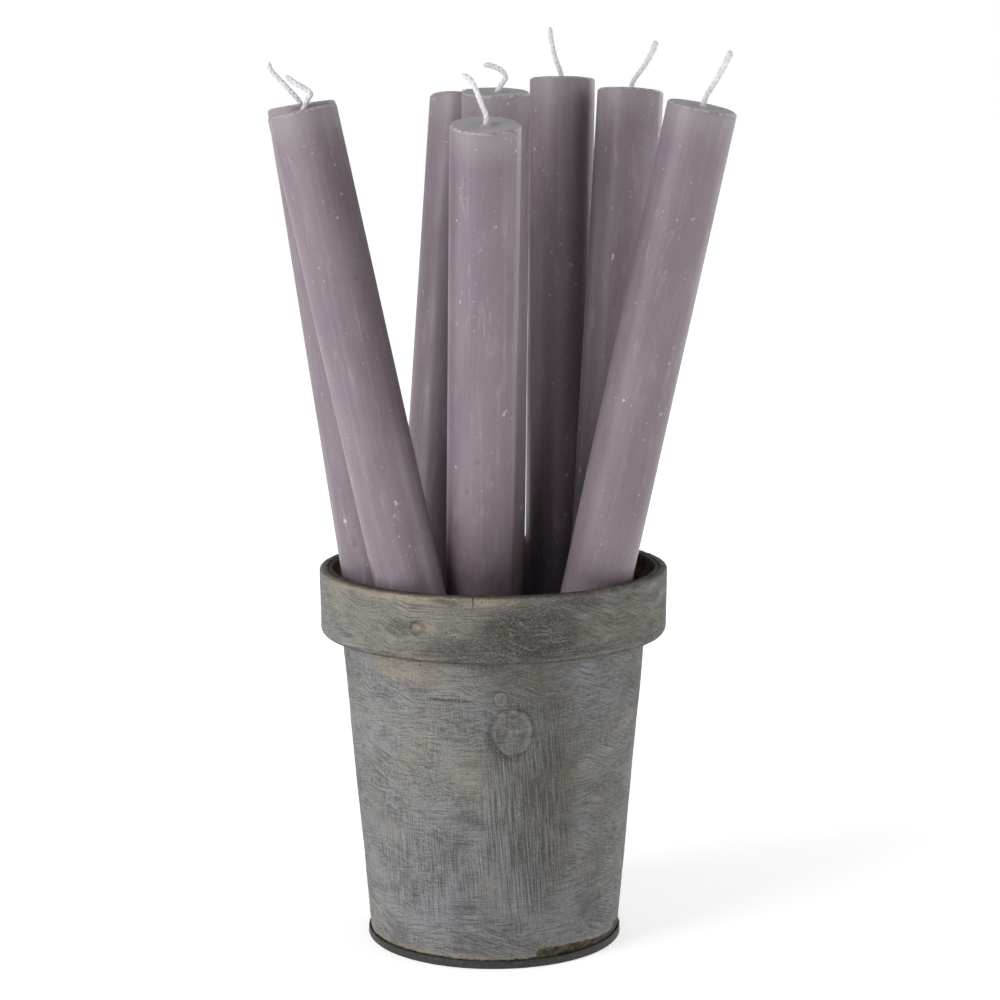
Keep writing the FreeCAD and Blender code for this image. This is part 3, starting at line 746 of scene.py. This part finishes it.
def make_collar():
    """Band with a step, a face, a rounded lip, and the crack where its ends meet, with painted shade along
    its lower edge and on its right.
    """
    low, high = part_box("collar_band")
    floor, top, outer = low.z / MM, high.z / MM, high.x / MM
    skin, inner_low = 0.7, float(outer_radius("pot_wall")(floor)) + 0.15
    inner_top = 52.2
    base = outer - 0.35
    lower = round_corner((base - 1.6, floor + 1.6), 1.6, -90, 0, 8)
    upper = round_corner((outer - 0.9, top - 0.9), 0.9, 0, 90, 6)
    corners = [
        (inner_low, floor), *lower, *upper, (inner_top, top), (inner_top, top - skin),
        (outer - skin - 0.5, top - skin), (base - skin, floor + skin), (inner_low, floor + skin),
    ]
    gaps = [0.6] + [1.0] * 7 + [0.32] + [1.0] * 5 + [0.3, 1.0, 1.0, 3.0, 2.0, 1.0]
    outline = outline_points(corners, gaps)
    even = np.linspace(0, 2 * math.pi, 680, endpoint=False)
    crack_deg, knot_deg, knot_level = -6.2, -24.7, 109.4
    crack = math.radians(crack_deg - 90)
    fine = crack + np.radians(np.linspace(-1.6, 1.6, 27))
    bearings = np.unique(np.round(np.concatenate([even, fine % (2 * math.pi)]), 7))
    rows = lathe(outline, bearings)
    points = rows.reshape(-1, 3)
    level = points[:, 2] / MM
    across = np.hypot(points[:, 0], points[:, 1]) / MM
    turn = bearing_right(points)
    outside = np.maximum(step(across, outer - 1.4, outer - 0.7), step(level, top - 0.5, top - 0.2))

    wander = 0.5 * rough_noise(points, (2.0, 2.0, 1.6), 61, 2)
    beside = np.radians(turn - crack_deg) * outer + wander
    depth = step(level, top - 5.0, top - 0.5)
    slit = np.exp(-(beside / (0.10 + 0.10 * depth)) ** 2) * depth
    wear = rough_noise(points, (3.0, 3.0, 2.0), 63, 3)
    knot_x = np.radians(turn - knot_deg) * outer
    knot = np.hypot(knot_x, (level - knot_level) * 1.1)
    knot = knot * (1 + 0.35 * wear)
    knot_bump = 0.26 * np.exp(-((knot - 1.5) / 0.7) ** 2) - 0.2 * np.exp(-(knot / 0.9) ** 2)
    knot_bump += 0.25 * np.exp(-((knot_x - 3.4) / 1.6) ** 2 - ((level - 110.2) / 0.6) ** 2)
    at_edges = np.maximum(step(level, top - 1.6, top - 0.3), step(level, floor + 1.8, floor + 0.6))
    dents = 0.22 * rough_noise(points, (24, 24, 16), 65, 2)
    strokes = 0.10 * rough_noise(points, (16, 16, 0.8), 67, 2) + 0.06 * rough_noise(points, 1.6, 69, 2)
    chips = 0.30 * at_edges * step(wear, 0.18, 0.5)
    lift = outside * (dents - 0.18 + strokes + knot_bump - chips - 0.35 * slit)
    push_out(rows, lift.reshape(rows.shape[:2]))
    lip = step(level, top - 0.5, top - 0.1)
    drop = lip * (0.10 + 0.14 * wear + 0.4 * slit)
    rows[..., 2] -= drop.reshape(rows.shape[:2]) * MM

    collar = grid_object("collar_painted", rows)
    bands = rough_noise(points, (11, 11, 2.2), 71, 3)
    beige = 0.85 * step(level, top - 3.8, top - 1.2) * step(np.abs(turn + 28), 46, 30)
    beige = beige * step(bands, -0.35, 0.1)
    knot_tail = np.exp(-((knot_x - 3.6) / 3.4) ** 2 - ((level - 109.9) / 1.6) ** 2)
    beige = np.maximum(beige, 0.8 * knot_tail)
    beige = np.maximum(beige, step(knot, 1.7, 1.1))
    beige = np.maximum(beige, 0.8 * spot(points, 46, 109, 22, 9) * step(bands, -0.2, 0.2))
    beige = np.maximum(beige, 0.45 * step(rough_noise(points, (14, 14, 5), 73, 3), 0.2, 0.5))
    beige = np.maximum(beige, 0.4 * lip * step(wear, -0.2, 0.3))
    dark = 0.95 * spot(points, 12, 108, 24, 13)
    # painted shade: the lower front of the collar and its lower right end are darkened
    dark = np.maximum(dark, 0.75 * spot(points, -1, 103, 30, 6))
    dark = np.maximum(dark, 0.55 * spot(points, 72, 102, 24, 9))
    # partly dark paint, partly painted shade: the right side is darker in bands
    dark = np.maximum(dark, 0.62 * step(turn, 0, 14) * step(turn, 115, 90) * step(bands, -0.35, 0.25))
    dark = np.maximum(dark, 0.5 * step(rough_noise(points, (18, 18, 5), 75, 3), 0.12, 0.5))
    dark = np.maximum(dark, 0.95 * lip * step(across, inner_top + 1.6, inner_top + 0.4))
    dark = np.maximum(dark, 0.55 * lip * step(np.abs(turn), 75, 40))
    # painted shadow along the collar's rounded lower edge
    dark = np.maximum(dark, 0.8 * step(level, floor + 1.3, floor + 0.4))
    knot_edge = np.exp(-((knot - 2.1) / 0.65) ** 2) * (0.45 + 0.55 * step(knot_x, 1.6, -0.6))
    dark = np.maximum(dark, knot_edge)
    dark = np.maximum(dark, 0.55 * spot(points, -31, 109, 7, 4))
    # painted shade on the right side, away from the main lamp, over an uneven grime all round
    shade_and_grime = 0.25 + 0.45 * step(turn, -45, 0) * step(turn, 120, 95)
    shade_and_grime = shade_and_grime + 0.3 * rough_noise(points, (14, 14, 6), 77, 3)
    add_layer(collar, "beige", np.clip(beige, 0, 1))
    add_layer(collar, "dark", np.clip(dark, 0, 1))
    # painted shadow line along the collar's lower edge, as dark bare metal, together with the real crack
    shadow_line_and_crack = np.maximum(0.85 * step(level, floor + 0.9, floor + 0.3), np.clip(slit * 1.3, 0, 1) * 0.7)
    inner_edge = 0.8 * lip * step(across + 0.5 * wear, inner_top + 1.0, inner_top + 0.5)
    add_layer(collar, "bare", np.maximum(shadow_line_and_crack, inner_edge))
    add_layer(collar, "shade_and_grime", np.clip(shade_and_grime, 0, 1))
    add_layer(collar, "around", np.radians(turn) * outer)
    paint_over(collar, collar_paint)
    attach(collar, "pot")
    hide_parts("collar_band")


def make_ring():
    """Crimped ring, slightly beaten and rounded."""
    low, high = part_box("base_ring")
    outer, top = high.x / MM, high.z / MM
    inner = outer - 0.78
    corners = [
        (inner, 0.0), *round_corner((outer - 0.5, 0.5), 0.5, -90, 0, 5),
        *round_corner((outer - 0.45, top - 0.45), 0.45, 0, 110, 5), (inner, top - 0.15),
    ]
    gaps = [0.4] + [1.0] * 4 + [0.3] + [1.0] * 5 + [1.5]
    rows = lathe(outline_points(corners, gaps), np.linspace(0, 2 * math.pi, 560, endpoint=False))
    points = rows.reshape(-1, 3)
    level = points[:, 2] / MM
    away = step(np.hypot(points[:, 0], points[:, 1]) / MM, inner + 0.1, outer - 0.1)
    beaten = 0.12 + 0.14 * rough_noise(points, (5, 5, 2), 81, 3)
    push_out(rows, (-away * np.clip(beaten, 0, 0.4)).reshape(rows.shape[:2]))
    sag = 0.18 * np.clip(rough_noise(points, (7, 7, 4), 83, 2), 0, 1) * step(level, top - 1.2, top - 0.4)
    rows[..., 2] -= sag.reshape(rows.shape[:2]) * MM
    ring = grid_object("ring_crimped", rows)
    paint_over(ring, ring_material())
    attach(ring, "pot")
    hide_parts("base_ring")


def make_patch(name, node, centre, half, proud, seed, dished):
    """Low oval patch on the front of the wall, with an uneven rim and painted shade on its rim and right
    half. Sizes in millimetres.
    """
    radius_at = outer_radius("pot_wall")
    shares = np.concatenate([np.linspace(0.06, 0.9, 26), np.linspace(0.91, 1.0, 12), [1.0, 0.92]])
    turns = np.linspace(0, 2 * math.pi, 128, endpoint=False)
    wobble = 1 + 0.02 * np.sin(2 * turns + seed) + 0.012 * np.sin(3 * turns + 2 * seed)
    x = centre[0] + half[0] * shares[:, None] * (wobble * np.cos(turns))[None, :]
    z = centre[1] + half[1] * shares[:, None] * (wobble * np.sin(turns))[None, :]
    level = np.sqrt(np.clip(1 - shares ** 4, 0, 1))
    level[-2:] = 0.0
    sunk_right = 1 - 0.5 * step(np.cos(turns), -0.1, 0.9)[None, :]
    surface = proud * level[:, None] * sunk_right
    flat = np.stack([x, np.zeros_like(x), z], -1).reshape(-1, 3) * MM
    uneven = rough_noise(flat, (3.2, 3.2, 3.2), seed * 7, 3).reshape(x.shape)
    surface += 0.10 * uneven * level[:, None]
    surface -= dished * np.exp(-(shares[:, None] / 0.55) ** 2) * proud
    surface[-2:] = -0.30
    out = radius_at(z) + surface
    y = -np.sqrt(np.maximum(out ** 2 - x ** 2, 1.0))
    rows = np.stack([x, y, z], -1) * MM
    rings, columns, _ = rows.shape
    faces = [
        (r * columns + (c + 1) % columns, r * columns + c,
         (r + 1) * columns + c, (r + 1) * columns + (c + 1) % columns)
        for r in range(rings - 1) for c in range(columns)
    ]
    faces.append(tuple(range(columns)))
    faces.append(tuple((rings - 1) * columns + c for c in range(columns))[::-1])
    mesh = bpy.data.meshes.new(name)
    mesh.from_pydata(rows.reshape(-1, 3).tolist(), [], faces)
    mesh.shade_smooth()
    patch = link_object(name, mesh)
    # painted shade: the rim of the patch is darkened, most on its lower left, with random dark blots
    rim = step(shares, 0.86, 0.99)[:, None] * np.ones(columns)[None, :]
    low_left = step(-np.sin(turns) * 0.8 - np.cos(turns) * 0.6, -0.3, 0.9)[None, :]
    add_layer(patch, "dark", rim * (0.35 + 0.65 * low_left) + 0.4 * step(uneven, 0.0, 0.3))
    # painted shade: the right half of the patch is darker, over an even grime
    shade_and_grime = 0.55 + 0.25 * step(np.cos(turns), -0.2, 0.8)
    add_layer(patch, "shade_and_grime", np.broadcast_to(shade_and_grime, x.shape))
    add_layer(patch, "upright", np.full(x.shape, 0.2))
    add_layer(patch, "around", x)
    add_layer(patch, "beige", 0.35 * step(np.abs(shares - 0.8), 0.12, 0.0)[:, None] * (1 - low_left))
    paint_over(patch, body_paint)
    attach(patch, "pot")
    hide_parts(node)


def make_patches():
    x, z, half_x, half_z = boss_ellipse()
    make_patch("boss_painted", "front_boss", (x, z), (half_x, half_z), 0.7, 3, 0.30)
    low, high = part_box("boss_rivet")
    middle = (low + high) / 2 / MM
    half = (high.x - low.x) / 2 / MM
    make_patch("rivet_painted", "boss_rivet", (middle.x, middle.z), (half, half), 0.6, 5, 0.35)


# ---------------------------------------------------------------- floor, lights and camera

def make_stage():
    mesh = bpy.data.meshes.new("floor")
    half = 6.0
    corners = [(-half, -half, 0), (half, -half, 0), (half, half, 0), (-half, half, 0)]
    mesh.from_pydata(corners, [], [(0, 1, 2, 3)])
    floor = link_object("floor", mesh)
    g = Graph("pale_floor")
    x, y, _ = g.split()
    away = g.math("SQRT", g.add(g.times(x, x), g.times(y, y)))
    g.set(Base_Color=(0.93, 0.93, 0.93), Roughness=0.7)
    g.set(Emission_Color=(1.0, 1.0, 1.0), Emission_Strength=g.ramp(away, 0.05, 0.9, 0.52, 0.80))
    paint_over(floor, g.material)


def add_softbox(name, place, aim, width, height, power):
    light = bpy.data.lights.new(name, "AREA")
    light.shape = "RECTANGLE"
    light.size = width
    light.size_y = height
    light.energy = power
    lamp = bpy.data.objects.new(name, light)
    lamp.location = place
    lamp.rotation_euler = (Vector(aim) - Vector(place)).to_track_quat("-Z", "Y").to_euler()
    bpy.context.scene.collection.objects.link(lamp)


def make_light():
    middle = (0, 0, 0.15)
    add_softbox("key", (-1.12, -0.80, 0.75), middle, 0.9, 1.1, 14.5)
    add_softbox("fill", (1.3, -0.30, 0.45), middle, 0.5, 1.0, 3.6)
    add_softbox("rim", (0.75, 0.75, 0.6), middle, 0.3, 0.9, 3.0)
    world = bpy.data.worlds.new("studio")
    world.use_nodes = True
    background = world.node_tree.nodes["Background"]
    background.inputs["Color"].default_value = (1.0, 1.0, 1.0, 1.0)
    rays = world.node_tree.nodes.new("ShaderNodeLightPath")
    level = world.node_tree.nodes.new("ShaderNodeMapRange")
    level.inputs["To Min"].default_value = AMBIENT
    level.inputs["To Max"].default_value = 1.0
    world.node_tree.links.new(rays.outputs["Is Camera Ray"], level.inputs["Value"])
    world.node_tree.links.new(level.outputs[0], background.inputs["Strength"])
    bpy.context.scene.world = world
    bpy.context.scene.view_settings.view_transform = "Standard"


def make_camera():
    """Level with the candles' lower half, looking slightly down."""
    distance, height, sideways = 0.850, 0.277, 0.0021
    pitch_down, roll, lens = 9.15, -0.12, 98.5
    data = bpy.data.cameras.new("photo_camera")
    data.lens = lens
    data.sensor_width = 36.0
    camera = bpy.data.objects.new("photo_camera", data)
    camera.location = (sideways, -distance, height)
    look = Matrix.Rotation(math.radians(90 - pitch_down), 4, "X")
    camera.rotation_euler = (look @ Matrix.Rotation(math.radians(roll), 4, "Z")).to_euler()
    bpy.context.scene.collection.objects.link(camera)
    bpy.context.scene.camera = camera


make_camera()
make_stage()
make_light()
wick_cotton = wick_material()
body_paint = painted_metal("body_paint", (0.250, 0.243, 0.224), (0.226, 0.236, 0.262), 0.56, 0.24, 0.22)
collar_paint = painted_metal("collar_paint", (0.238, 0.229, 0.200), (0.218, 0.222, 0.214), 0.60, 0.10, 0.95)
make_wall()
make_collar()
make_ring()
make_patches()
for candle in CANDLES:
    make_wax(candle)
    make_wick(candle)
paint_over(frame["nodes"]["side_seam"], body_paint)
tin = stained_tin()
for node in ("bottom_plate", "collar_lap"):
    paint_over(frame["nodes"][node], tin)
